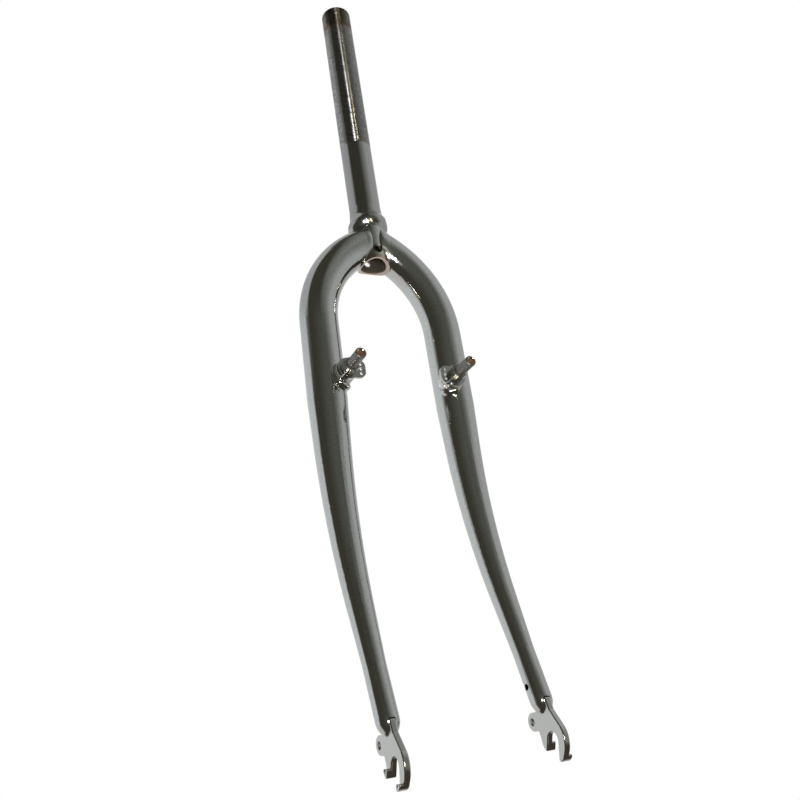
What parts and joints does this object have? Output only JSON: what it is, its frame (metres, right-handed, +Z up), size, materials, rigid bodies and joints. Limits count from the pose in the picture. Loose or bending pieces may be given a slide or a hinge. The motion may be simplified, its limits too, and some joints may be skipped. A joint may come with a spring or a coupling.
{
  "type": "bicycle fork",
  "caption": "Rigid chromed unicrown bicycle fork with long threaded steerer, raked tapered blades, cantilever brake studs and slotted dropouts with eyelets",
  "frame": {"origin": "on the steerer's axis, at the collar's shoulder that the crown race sits on", "axes": "+Z up along the steerer, -Y to the fork's front, +X to the bicycle's left"},
  "size_m": [0.1316, 0.0698, 0.6379],
  "materials": {
    "steerer_chrome": "bright plating over a fine thread",
    "crown_chrome": "bright plating",
    "blade_chrome": "bright polished plating",
    "dropout_chrome": "bright plating on stamped plate",
    "boss_chrome": "bright plating on turned steel",
    "stud_chrome": "plated, duller on the pivot",
    "weld_chrome": "bright plating over a lumpy bead"
  },
  "bodies": {
    "root": {"steerer_tube": "steerer_chrome", "crown_collar": "crown_chrome", "blade_left": "blade_chrome", "blade_right": "blade_chrome", "dropout_left": "dropout_chrome", "dropout_right": "dropout_chrome", "brake_boss_left": "boss_chrome", "brake_boss_right": "boss_chrome", "spring_plate_left": "boss_chrome", "spring_plate_right": "boss_chrome", "brake_stud_left": "stud_chrome", "brake_stud_right": "stud_chrome", "crown_weld_left": "weld_chrome", "crown_weld_right": "weld_chrome", "boss_weld_left": "weld_chrome", "boss_weld_right": "weld_chrome"}
  },
  "joints": []
}
